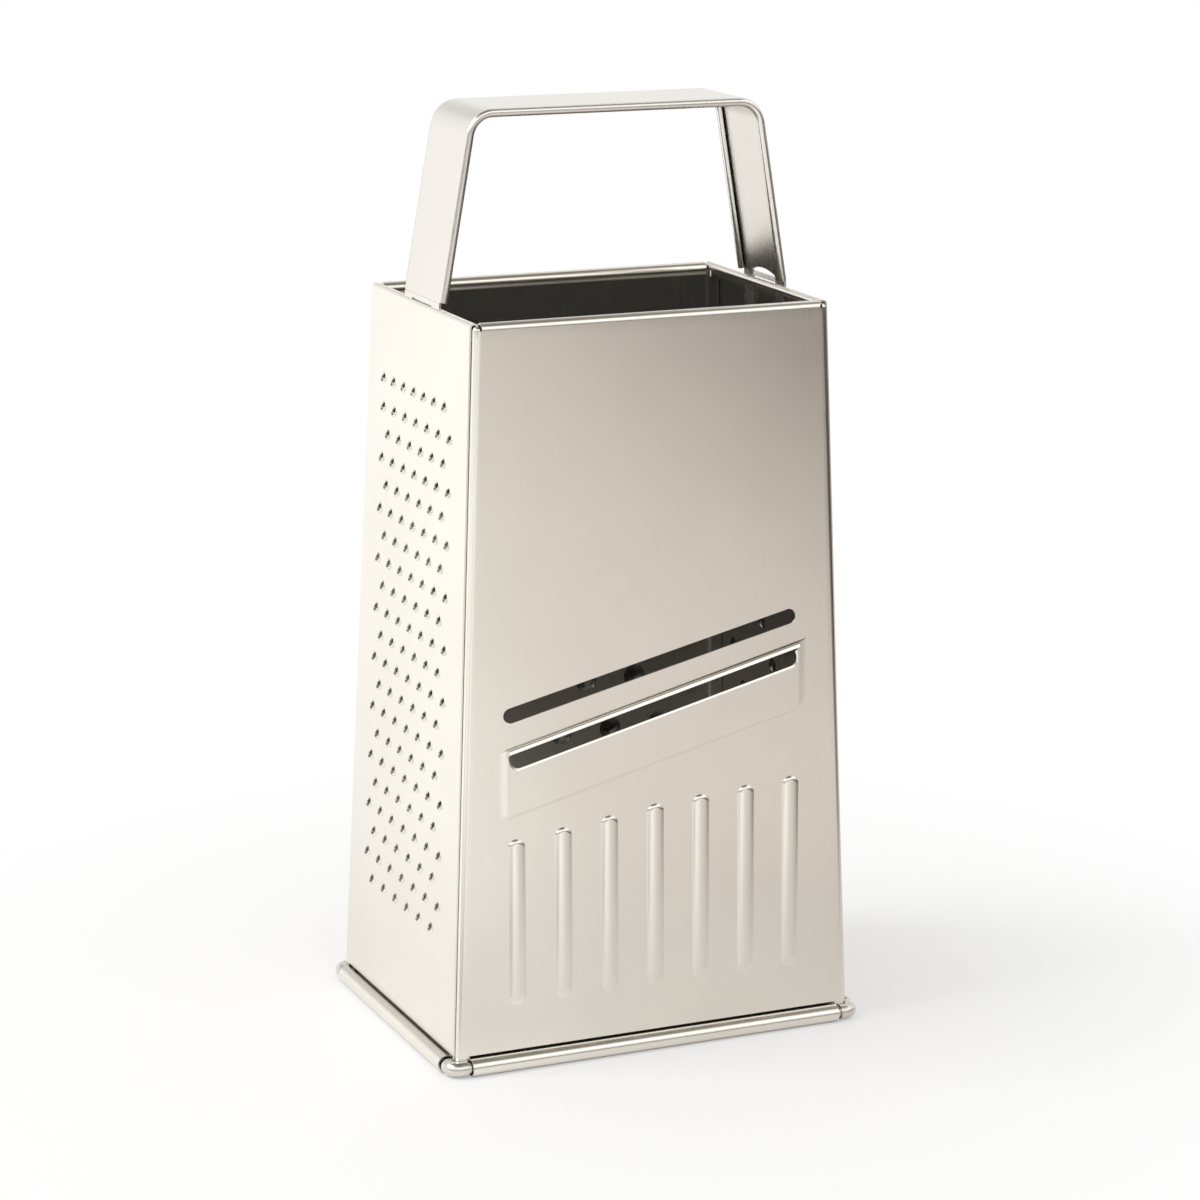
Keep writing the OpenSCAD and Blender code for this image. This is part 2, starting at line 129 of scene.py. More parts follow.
RIB_PITCH = 11.45 * MM
RIB_LOW_H = 14.9 * MM
RIB_TOP_H = 58.4 * MM
RIB_RISE = 1.15 * MM
RIB_BOW = RIB_RISE / 4
RIB_STEPS = ((0.08, 0.17), (0.12, 0.24), (0.15, 0.24), (0.18, 0.18), (0.2, 0.12), (0.2, 0.05))

# Grating holes, with burrs and scoops as shares of a hole's width
FINE_HOLE = {"width": 2 * MM, "out": 0.6 * MM, "points": 12}
FINE_ROWS = {"rows": 20, "top": 143.8 * MM, "pitch": 5.97 * MM, "count": 7, "share": 0.1063}
FIRST_ROW_H = 150.5 * MM
FIRST_ROW_SHIFT = 2.05 * MM
FIRST_ROW_SHARE = 0.098
MEDIUM_HOLE = {"width": 4.4 * MM, "out": 1.1 * MM, "points": 16}
MEDIUM_ROWS = {"rows": 13, "top": 136 * MM, "pitch": 9.6 * MM, "count": 5, "share": 0.158}
COARSE_HOLE = {"width": 6.6 * MM, "out": 1.8 * MM, "points": 20}
COARSE_ROWS = {"rows": 9, "top": 134 * MM, "pitch": 12.8 * MM, "count": 6, "share": 0.136}
BURR_R = 0.68
BURR_HOLE_R = 0.6
BURR_TIP = 0.12
BURR_DROP = 0.1
SCOOP_SIDE = 0.6
SCOOP_LONG = 0.74
SCOOP_OPEN = 0.24
SCOOP_HOLE_R = 0.42
SCOOP_HOLE_DROP = 0.21
HOLE_CUT = 3 * MM

# Strap handle
TOP_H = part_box("handle")[1].z
STRAP = 0.5 * MM
ROLL_R = 0.95 * MM
ROLL_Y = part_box("handle")[1].y - ROLL_R
ROLL_STEPS = 14
HANDLE_BEND_R = 6.5 * MM
HANDLE_LEAN = math.radians(9.7)
KNEE_RISE = 1 * MM
ROLL_RISE = 1.6 * MM
FOOT_LEN = 7 * MM
ARCH_W = 11.8 * MM
ARCH_H = 2.9 * MM
ARCH_ROUND = 1.5
FOOT_GAP = 0.1 * MM
RIM_CLEAR = 0.3 * MM
FOOT_CUT = 3 * MM
STRIP_RISE = 1.5 * MM
STRIP_TURN = math.radians(8)
STRIP_LAP = 0.2 * MM
CREASE_RISE = 1.3 * MM
CREASE_W = 0.22 * MM
CREASE_DEEP = 0.15 * MM
CREASE_END = 0.1 * MM

# Steel
SHEET_COLOUR = (0.86, 0.825, 0.75)
WIRE_COLOUR = (0.72, 0.69, 0.64)
STRAP_COLOUR = (0.82, 0.79, 0.735)
UPRIGHT_GRAIN = (5200, 5200, 130)
WIRE_GRAIN = (400, 400, 3000)
STRAP_GRAIN = (300, 5200, 300)
GRAIN_SHARES = (0.85, 1.15)
GRAIN_DEEP = 0.02 * MM
CLOUD_SHARES = (0.95, 1.04)
# The next lines set painted shade: in creases and gaps, inside the tower up to the rim, and in the hollows
# of burrs and scoops
CREASE_SHADE_REACH = 1.5 * MM
INSIDE_SHADE_FADE = 6 * MM
RIM_SHADE_FADE = 0.5 * MM
HOLLOW_SHADE_BAND = 0.3 * MM
HOLLOW_SHADE_TURN = -0.05
HOLLOW_SHADE_TONE = (0.22, 0.215, 0.2, 1)
WHITE = (1, 1, 1, 1)


def half_wide(height):
    """Half width over the side walls at a height."""
    return BASE_W / 2 - height * math.tan(LEAN_SIDE)


def half_deep(height):
    """Half depth over the front and back walls at a height."""
    return BASE_D / 2 - height * math.tan(LEAN_WIDE)


def up(height, lean):
    """Distance up a leaning wall to a height."""
    return height / math.cos(lean)


def hem_start(lean, roll_r):
    """Where a rolled rim starts, measured up the wall."""
    return (RIM_H - roll_r * (1 - math.sin(lean))) / math.cos(lean)


def only(*pieces):
    """Leaves edit mode and selects these pieces alone; the first becomes active."""
    if bpy.context.object and bpy.context.object.mode != "OBJECT":
        bpy.ops.object.mode_set(mode="OBJECT")
    bpy.ops.object.select_all(action="DESELECT")
    for piece in pieces:
        piece.select_set(True)
    if pieces:
        bpy.context.view_layer.objects.active = pieces[0]


def edit(piece):
    """Opens a piece in edit mode with all of it selected."""
    only(piece)
    bpy.ops.object.mode_set(mode="EDIT")
    bpy.ops.mesh.select_mode(type="VERT")
    bpy.ops.mesh.select_all(action="SELECT")


def choose(where):
    """In edit mode, selects the points whose place passes a test, and the edges and faces between them."""
    bpy.ops.mesh.select_all(action="DESELECT")
    mesh = bmesh.from_edit_mesh(bpy.context.object.data)
    for point in mesh.verts:
        point.select = bool(where(point.co))
    mesh.select_flush(True)
    bmesh.update_edit_mesh(bpy.context.object.data)


def pull(x, y, z):
    """Extrudes what is selected by a step."""
    bpy.ops.mesh.extrude_region_move(TRANSFORM_OT_translate={"value": (x, y, z)})


def slice_at(point, across, **keep):
    """Cuts the whole piece along a plane."""
    bpy.ops.mesh.select_all(action="SELECT")
    bpy.ops.mesh.bisect(plane_co=point, plane_no=Vector(across).normalized(), threshold=EPS / 10, **keep)


def turn_about_x(angle, centre):
    """Turns what is selected about a line along X."""
    bpy.ops.transform.rotate(value=-angle, orient_axis="X", orient_type="GLOBAL", center_override=centre)


def rectangle(name, left, right, low, high, height=0.0):
    """A flat rectangle in edit mode."""
    only()
    bpy.ops.mesh.primitive_plane_add(size=1)
    piece = bpy.context.object
    piece.name = name
    edit(piece)
    bpy.ops.transform.resize(value=(right - left, high - low, 1), center_override=(0, 0, 0))
    bpy.ops.transform.translate(value=((left + right) / 2, (low + high) / 2, height))
    return piece


def close_up(piece):
    """Merges doubles and makes the faces agree; those of a closed piece look outwards."""
    edit(piece)
    bpy.ops.mesh.remove_doubles(threshold=EPS / 5)
    bpy.ops.mesh.normals_make_consistent(inside=False)
    bpy.ops.object.mode_set(mode="OBJECT")


def face_up(piece):
    """Does the same for an open sheet, and turns it so that its largest face looks up."""
    close_up(piece)
    largest = max(piece.data.polygons, key=lambda face: face.area)
    if largest.normal.z < 0:
        edit(piece)
        bpy.ops.mesh.flip_normals()
        bpy.ops.object.mode_set(mode="OBJECT")


def apply(piece, kind, **values):
    """Adds a modifier, sets it and applies it."""
    only(piece)
    modifier = piece.modifiers.new(kind.lower(), kind)
    for name, value in values.items():
        setattr(modifier, name, value)
    bpy.ops.object.modifier_apply(modifier=modifier.name)


def thicken(piece, thickness):
    """Gives an open sheet its thickness, behind its outer face."""
    apply(piece, "SOLIDIFY", thickness=thickness, offset=-1, use_even_offset=True)


def combine(piece, tool, how):
    """Adds a closed shape to a piece or cuts it out."""
    apply(piece, "BOOLEAN", operation=how, object=tool, solver="EXACT")
    bpy.data.objects.remove(tool)


def copies(piece, places):
    """Copies a piece to each place, each with its own mesh, and joins them all; the original goes."""
    made = []
    for x, y in places:
        one = piece.copy()
        one.data = piece.data.copy()
        one.data.transform(Matrix.Translation((x, y, 0)))
        bpy.context.scene.collection.objects.link(one)
        made.append(one)
    bpy.data.objects.remove(piece)
    only(*made)
    bpy.ops.object.join()
    return bpy.context.object


def place(piece, matrix):
    """Applies a place to a piece's mesh, so that its object stays at the origin."""
    piece.matrix_world = matrix
    only(piece)
    bpy.ops.object.transform_apply(location=True, rotation=True, scale=True)


def stand(piece, facing):
    """Stands a wall drawn flat, X to the right, Y up and Z out, on its side of the tower."""
    quarter, half, lean = facing
    upright = Matrix.Rotation(math.pi / 2, 4, "Z") @ Matrix.Rotation(math.pi / 2, 4, "X")
    leaning = Matrix.Translation((half, 0, 0)) @ Matrix.Rotation(-lean, 4, "Y")
    place(piece, Matrix.Rotation(quarter * math.pi / 2, 4, "Z") @ leaning @ upright)


FACINGS = {
    "front_panel": (-1, BASE_D / 2, LEAN_WIDE),
    "right_panel": (0, BASE_W / 2, LEAN_SIDE),
    "back_panel": (1, BASE_D / 2, LEAN_WIDE),
    "left_panel": (2, BASE_W / 2, LEAN_SIDE),
}


def outer_face(node):
    """The way a wall's outer face looks, and how far from the origin it lies that way."""
    quarter, half, lean = FACINGS[node]
    out = Matrix.Rotation(quarter * math.pi / 2, 3, "Z") @ Vector((math.cos(lean), 0, math.sin(lean)))
    return tuple(out), half * math.cos(lean)


def finish_piece(piece, node, material, smooth=35):
    """Shades a finished piece and lets it stand for its node."""
    only(piece)
    bpy.ops.object.shade_smooth_by_angle(angle=math.radians(smooth))
    apply(piece, "WEIGHTED_NORMAL", weight=100, keep_sharp=True)
    piece.data.materials.clear()
    piece.data.materials.append(material)
    piece.name = node + "_sheet"
    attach(piece, "root")
    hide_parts(node)


# Walls

def plain_wall(name, lean, edge, curl_half, hem_half, roll_r, bent):
    """A wall as one thin sheet: curled round the wire, rolled at the rim, and bent at its upright edges."""
    low, step, high = up(FOOT_H, lean), up(STEP_TOP_H, lean), hem_start(lean, roll_r)
    tuck = up(RIM_H - 2 * roll_r - SHEET, lean)
    half_low, half_high = edge(FOOT_H), edge(RIM_H)
    piece = rectangle(name, -half_low, half_low, low, high)
    choose(lambda p: p.y > high - EPS)
    bpy.ops.transform.resize(value=(half_high / half_low, 1, 1), center_override=(0, high, 0))
    slice_at((0, step, 0), (0, 1, 0))
    slice_at((0, tuck, 0), (0, 1, 0))
    for side in (-1, 1):
        slice_at((side * hem_half, high, 0), (high - step, side * (curl_half - hem_half), 0))

    # The middle of the lowest strip goes, and the sheet steps in there and curls round the wire
    inside = curl_half + (curl_half - hem_half) * (step - low) / (high - step) + EPS
    choose(lambda p: p.y < step + EPS and abs(p.x) < inside)
    bpy.ops.mesh.delete(type="ONLY_FACE")
    choose(lambda p: p.y < low + EPS and abs(p.x) < inside)
    bpy.ops.mesh.delete(type="ONLY_FACE")
    choose(lambda p: abs(p.y - step) < EPS and abs(p.x) < curl_half + EPS)
    curl_y = WIRE_H * math.cos(lean) - WIRE_OUT * math.sin(lean)
    curl_z = WIRE_OUT * math.cos(lean) + WIRE_H * math.sin(lean)
    deep, drop = curl_z - CURL_IN, up(STEP_LOW_H, lean) - step
    done = 0
    for part in range(STEP_PARTS):
        share = (part + 1) / STEP_PARTS
        eased = share * share * (3 - 2 * share)
        pull(0, drop / STEP_PARTS, deep * (eased - done))
        done = eased
    pull(0, curl_y - step - drop, 0)
    bpy.ops.mesh.spin(steps=CURL_STEPS, angle=CURL_SWEEP, center=(0, curl_y, curl_z), axis=(1, 0, 0))

    # Rolled rim
    choose(lambda p: p.y > high - EPS and abs(p.x) < hem_half + EPS)
    bpy.ops.mesh.spin(steps=HEM_STEPS, angle=math.radians(270), center=(0, high, -roll_r), axis=(1, 0, 0))

    if bent:
        slope = Vector((half_high - half_low, high - low, 0)).normalized()
        taper = slope.x / slope.y
        for side in (-1, 1):
            choose(lambda p: abs(p.z) < EPS and side * p.x > half_low + (p.y - low) * taper - EPS)
            bpy.ops.mesh.spin(steps=BEND_STEPS, angle=math.pi / 2, center=(side * half_low, low, -CORNER_R),
                              axis=(-slope.x, -side * slope.y, 0))
            choose(lambda p: abs(p.z + CORNER_R) < EPS and p.y < tuck + LOOSE
                   and side * p.x > half_low + CORNER_R + (p.y - low) * taper - LOOSE)
            pull(0, 0, -FLANGE_W)

            # The bend closes in over the corner
            choose(lambda p: p.y > high - BEND_BAND and p.z > -CORNER_R - EPS
                   and side * p.x > half_high - EPS)
            for rise, narrow in BEND_TOP:
                pull(0, rise, 0)
                bpy.ops.transform.resize(value=(narrow, 1, narrow),
                                         center_override=(side * half_high, high, -CORNER_R))
    face_up(piece)
    thicken(piece, SHEET)
    return piece


def wide_wall(name):
    """A front or back wall with its corner bends and tucked flanges."""
    inset = SHEET + SEAM_GAP + CORNER_R
    return plain_wall(name, LEAN_WIDE, lambda height: half_wide(height) - inset,
                      WIRE_X - WIRE_BEND_R - CURL_SHORT, half_wide(RIM_H) - 2 * SIDE_HEM_R - HEM_END_GAP,
                      WIDE_HEM_R, True)


def side_wall(name):
    """A side wall; its rolled rim is slit where the handle's foot goes down."""
    inset = CORNER_R + SEAM_GAP
    piece = plain_wall(name, LEAN_SIDE, lambda height: half_deep(height) - inset,
                       WIRE_Y - WIRE_BEND_R - CURL_SHORT, half_deep(RIM_H) - inset, SIDE_HEM_R, False)
    inner, outer = ARCH_W / 2 - FOOT_GAP, ROLL_Y + FOOT_GAP
    low = hem_start(LEAN_SIDE, SIDE_HEM_R) - 2 * SIDE_HEM_R
    for side in (-1, 1):
        left, right = sorted((side * inner, side * outer))
        slit = rectangle("slit", left, right, low, low + SLIT_H, -SHEET)
        pull(0, 0, -STRAP - 2 * FOOT_GAP)
        close_up(slit)
        combine(piece, slit, "DIFFERENCE")
    return piece


def soft_bump(name, width, height, round_r, base, steps, total):
    """A flat outline with round corners, raised in soft steps that lie closer at its upper end."""
    piece = rectangle(name, -width / 2, width / 2, -height / 2, height / 2, base)
    bpy.ops.mesh.bevel(affect="VERTICES", offset=round_r, segments=CORNER_STEPS)
    bpy.ops.mesh.remove_doubles(threshold=EPS)
    bpy.ops.mesh.select_all(action="SELECT")
    pull(0, 0, -base)
    reach = min(width, height) / 2
    for inset_share, rise_share in steps:
        bpy.ops.mesh.inset(thickness=reach * inset_share, depth=total * rise_share)
        bpy.ops.transform.translate(value=(0, RIB_LEAN * reach * inset_share, 0))
    return piece


def rib_top(number):
    """Height of the upper end of a rib, counted from the middle one."""
    return RIB_TOP_H + number * RIB_RISE - abs(number) * RIB_BOW


def ribs(width, out, base):
    """The pressed ribs as one joined set of shapes."""
    made = []
    for number in range(-(RIB_COUNT // 2), RIB_COUNT // 2 + 1):
        low, high = up(RIB_LOW_H, LEAN_WIDE), up(rib_top(number), LEAN_WIDE)
        shrink = (RIB_W - width) / 2
        rib = soft_bump("rib", width, high - low - 2 * shrink, width / 2, base, RIB_STEPS, out)
        close_up(rib)
        place(rib, Matrix.Translation((number * RIB_PITCH, (low + high) / 2, 0)))
        made.append(rib)
    only(*made)
    bpy.ops.object.join()
    return bpy.context.object


def pocket(shrink, base):
    """The pressed pocket round the blade slot: soft at its sides and foot, with a lip above the slot."""
    left = POCKET_MARGINS[0] - half_wide(STEP_H) + shrink
    right = half_wide(STEP_H) - POCKET_MARGINS[1] - shrink
    piece = rectangle("pocket", left, right, shrink - POCKET_H, POCKET_SPARE, base)
    choose(lambda p: p.y < 0)
    bpy.ops.mesh.bevel(affect="VERTICES", offset=POCKET_R, segments=CORNER_STEPS)
    bpy.ops.mesh.select_all(action="SELECT")
    pull(0, 0, -base)
    for inset_share, rise_share in POCKET_STEPS:
        bpy.ops.mesh.inset(thickness=POCKET_SOFT * inset_share, depth=POCKET_OUT * rise_share)
        bpy.ops.transform.translate(value=(0, -POCKET_LEAN * POCKET_SOFT * inset_share, 0))
    slice_at((0, -shrink, 0), (0, 1, 0), use_fill=True, clear_outer=True)
    slice_at((0, -shrink - LIP, 0), (0, 1, 0))
    slice_at((0, -shrink - 2 * LIP, 0), (0, 1, 0))

    # The lip rises from the step towards the slot, and the step leans a little
    for low, rise in ((-shrink - LIP, STEP_OUT), (-shrink, STEP_OUT - LIP_DROP)):
        choose(lambda p: abs(p.y - low) < EPS and p.z > POCKET_OUT - EPS)
        bpy.ops.transform.translate(value=(0, 0, rise - POCKET_OUT))
    choose(lambda p: p.y > -shrink - EPS and p.z < EPS)
    bpy.ops.transform.translate(value=(0, STEP_FOOT, 0))
    close_up(piece)
    if not shrink:
        edit(piece)
        choose(lambda p: abs(p.y) < EPS and p.z > POCKET_OUT + EPS)
        bpy.ops.mesh.bevel(affect="EDGES", offset=STEP_ROUND, segments=3)
        bpy.ops.object.mode_set(mode="OBJECT")
    slope = math.tan(BLADE_SLOT_TILT)
    piece.data.transform(Matrix.Translation((0, up(STEP_H, LEAN_WIDE), -shrink)) @ Matrix(
        ((1, 0, 0, 0), (slope, 1, 0, 0), (0, 0, 1, 0), (0, 0, 0, 1))))
    return piece


def slot_cutter(height, width, tilt, margins, top_round, low_round, surface, edge, drop):
    """A slot across the slicing side, whose edge slopes in at its ends and foot."""
    left, right = margins[0] - half_wide(height), half_wide(height) - margins[1]
    middle, length = (left + right) / 2, (right - left) / math.cos(tilt)
    piece = rectangle("slot", -length / 2, length / 2, -width / 2, width / 2, -SLOT_CUT)
    for side, radius in ((1, top_round), (-1, low_round)):
        choose(lambda p: side * p.y > width / 2 - EPS)
        bpy.ops.mesh.bevel(affect="VERTICES", offset=radius, segments=CORNER_STEPS)
    bpy.ops.mesh.remove_doubles(threshold=EPS)
    bpy.ops.mesh.select_all(action="SELECT")
    pull(0, 0, surface - drop + SLOT_CUT)
    pull(0, 0, drop)
    bpy.ops.transform.resize(value=(1 + 2 * edge / length, 1 + edge / width, 1),
                             center_override=(0, width / 2, 0))
    pull(0, 0, SLOT_CUT)
    close_up(piece)
    place(piece, Matrix.Translation((middle, up(height + middle * math.tan(tilt), LEAN_WIDE), 0))
          @ Matrix.Rotation(tilt, 4, "Z"))
    return piece


def front_panel(material):
    """The slicing side."""
    piece = wide_wall("front")
    combine(piece, pocket(0, -SHEET / 2), "UNION")
    combine(piece, ribs(RIB_W, RIB_OUT, -SHEET / 2), "UNION")
    combine(piece, pocket(SHEET, -SHEET - PRESS_CUT), "DIFFERENCE")
    inner = ribs(RIB_W - 2 * SHEET, RIB_OUT, -PRESS_CUT)
    inner.data.transform(Matrix.Translation((0, 0, -SHEET)))
    combine(piece, inner, "DIFFERENCE")
    upper = slot_cutter(UPPER_SLOT_H, UPPER_SLOT_W, UPPER_SLOT_TILT, UPPER_MARGINS,
                        UPPER_SLOT_W / 2, UPPER_SLOT_W / 2, 0, UPPER_EDGE, UPPER_EDGE)
    combine(piece, upper, "DIFFERENCE")
    blade = slot_cutter(BLADE_SLOT_H, BLADE_SLOT_W, BLADE_SLOT_TILT, BLADE_MARGINS,
                        BLADE_TOP_R, BLADE_LOW_R, POCKET_OUT, BLADE_EDGE, BLADE_DROP)
    combine(piece, blade, "DIFFERENCE")
    stand(piece, FACINGS["front_panel"])
    finish_piece(piece, "front_panel", material)


# Grating holes

def teardrop(name, radius, tip, points, drop):
    """A loop that is round below and pointed above, in edit mode."""
    only()
    bpy.ops.mesh.primitive_circle_add(vertices=points, radius=radius, location=(0, -drop, 0))
    piece = bpy.context.object
    piece.name = name
    bpy.ops.object.transform_apply(location=True)
    edit(piece)
    choose(lambda p: p.y > radius - drop - EPS)
    bpy.ops.transform.translate(value=(0, tip, 0))
    bpy.ops.mesh.select_all(action="SELECT")
    return piece


def burr(width, out, points):
    """One fine burr: the sheet is pressed in above its hole and drawn out below it."""
    radius, drop = width * BURR_R, width * BURR_DROP
    centre = (0, -drop, 0)
    piece = teardrop("burr", radius, width * BURR_TIP, points, drop)
    bpy.ops.transform.translate(value=(0, 0, -SHEET * 0.4))
    lean = math.asin(out / radius * 0.8)
    for scale, rise, turn in ((0.94, SHEET * 0.45, lean * 0.3), (0.9, out * 0.3, lean * 0.5),
                              (0.86, out * 0.05, lean * 0.2), (0.95, -SHEET * 0.9, 0)):
        pull(0, 0, rise)
        bpy.ops.transform.resize(value=(scale, scale, 1), center_override=centre)
        turn_about_x(-turn, centre)
    close_up(piece)
    return piece


def scoop(width, out, points):
    """One large scoop: a hood drawn out over its hole and open at the top."""
    only()
    bpy.ops.mesh.primitive_uv_sphere_add(segments=points, ring_count=points // 2, radius=1)
    piece = bpy.context.object
    piece.name = "scoop"
    edit(piece)
    bpy.ops.transform.resize(value=(width * SCOOP_SIDE, width * SCOOP_LONG, out * 1.12))
    bpy.ops.transform.translate(value=(0, width * 0.02, -SHEET * 0.5))
    slice_at((0, 0, -SHEET * 0.45), (0, 0, -1), clear_outer=True)
    slice_at((0, width * SCOOP_OPEN, 0), (0, 1, -0.12), clear_outer=True)
    face_up(piece)
    thicken(piece, SHEET * 0.8)
    close_up(piece)
    return piece


def pierce(piece, burr_piece, hole, places):
    """Cuts the holes into a wall and sets a burr in each."""
    edit(hole)
    bpy.ops.mesh.edge_face_add()
    bpy.ops.transform.translate(value=(0, 0, -HOLE_CUT))
    pull(0, 0, 2 * HOLE_CUT)
    close_up(hole)
    combine(piece, copies(hole, places), "DIFFERENCE")
    all_burrs = copies(burr_piece, places)
    only(piece, all_burrs)
    bpy.ops.object.join()


def staggered(base, rim, lean, rows, top, pitch, count, share):
    """Places of the holes in rows that follow the wall's taper."""
    for row in range(rows):
        height = top - row * pitch
        spacing = share * (base - (base - rim) * height / RIM_H)
        holes = count - row % 2
        for number in range(holes):
            yield (number - (holes - 1) / 2) * spacing, up(height, lean)


def grated_wall(node, piece, places, material, width, out, points):
    """A wall with its grating holes: burrs in the fine side, scoops in the others."""
    if node == "left_panel":
        one = burr(width, out, points)
        hole = teardrop("hole", width * BURR_HOLE_R, width * BURR_TIP, points, width * BURR_DROP)
    else:
        one = scoop(width, out, points)
        hole = teardrop("hole", width * SCOOP_HOLE_R, 0, points, width * SCOOP_HOLE_DROP)
    pierce(piece, one, hole, list(places))
    stand(piece, FACINGS[node])
    finish_piece(piece, node, material)


def left_panel(material):
    """The fine side; its uppermost row stands apart and is shifted."""
    count = FINE_ROWS["count"]
    spacing = FIRST_ROW_SHARE * 2 * half_deep(FIRST_ROW_H)
    places = [((number - count // 2) * spacing - FIRST_ROW_SHIFT, up(FIRST_ROW_H, LEAN_SIDE))
              for number in range(count)]
    places += staggered(BASE_D, RIM_D, LEAN_SIDE, **FINE_ROWS)
    grated_wall("left_panel", side_wall("left"), places, material, **FINE_HOLE)


def right_panel(material):
    """The medium side."""
    places = staggered(BASE_D, RIM_D, LEAN_SIDE, **MEDIUM_ROWS)
    grated_wall("right_panel", side_wall("right"), places, material, **MEDIUM_HOLE)


def back_panel(material):
    """The coarse side."""
    places = staggered(BASE_W, RIM_W, LEAN_WIDE, **COARSE_ROWS)
    grated_wall("back_panel", wide_wall("back"), places, material, **COARSE_HOLE)


# Wire and handle

def base_wire(material):
    """The wire ring in the base: a little stouter at its corner bends, thinner in and near the curls."""
    run_x, run_y = WIRE_X - WIRE_BEND_R, WIRE_Y - WIRE_BEND_R
    bare = CURL_SHORT - ELBOW_SHORT
    only()
    bpy.ops.mesh.primitive_circle_add(vertices=24, radius=WIRE_R, rotation=(0, math.pi / 2, 0))
    piece = bpy.context.object
    bpy.ops.object.transform_apply(rotation=True)
    edit(piece)
    bpy.ops.transform.translate(value=(-run_x, -WIRE_Y, WIRE_H))
    runs = ((run_x, 1, 0), (run_y, 0, 1), (run_x, -1, 0), (run_y, 0, -1))
    centres = ((run_x, -run_y), (run_x, run_y), (-run_x, run_y), (-run_x, -run_y))
    for (run, way_x, way_y), (x, y) in zip(runs, centres):
        for part in (bare, ELBOW_TAPER, 2 * (run - bare - ELBOW_TAPER), ELBOW_TAPER, bare):
            pull(part * way_x, part * way_y, 0)
        bpy.ops.mesh.spin(steps=10, angle=math.pi / 2, center=(x, y, WIRE_H), axis=(0, 0, -1))
    close_up(piece)
    edit(piece)
    choose(lambda p: abs(p.x) > run_x - bare - EPS and abs(p.y) > run_y - bare - EPS)
    bpy.ops.transform.shrink_fatten(value=ELBOW_OUT)
    bpy.ops.mesh.select_all(action="INVERT")
    bpy.ops.transform.shrink_fatten(value=-WIRE_HIDDEN)
    finish_piece(piece, "base_wire", material)
    piece.name = "base_wire_ring"


def foot_strip(side):
    """The strip between a foot's arch and the rim: its upper edge leans outwards."""
    low, high = up(RIM_H + RIM_CLEAR, LEAN_SIDE), up(RIM_H + STRIP_RISE, LEAN_SIDE)
    face, half = -SHEET - FOOT_GAP / 2, ARCH_W / 2 + STRIP_LAP
    piece = rectangle("strip", -half, half, low, high, face)
    turn_about_x(STRIP_TURN, (0, low, face))
    face_up(piece)
    thicken(piece, STRAP)
    stand(piece, FACINGS[side])
    return piece


def crease(side):
    """A shallow fold line across the outside of a foot."""
    height, face = up(RIM_H + CREASE_RISE, LEAN_SIDE), -SHEET - FOOT_GAP / 2
    half = ROLL_Y - CREASE_END
    piece = rectangle("crease", -half, half, height, height + CREASE_W, face - CREASE_DEEP)
    pull(0, 0, MM)
    close_up(piece)
    stand(piece, FACINGS[side])
    return piece


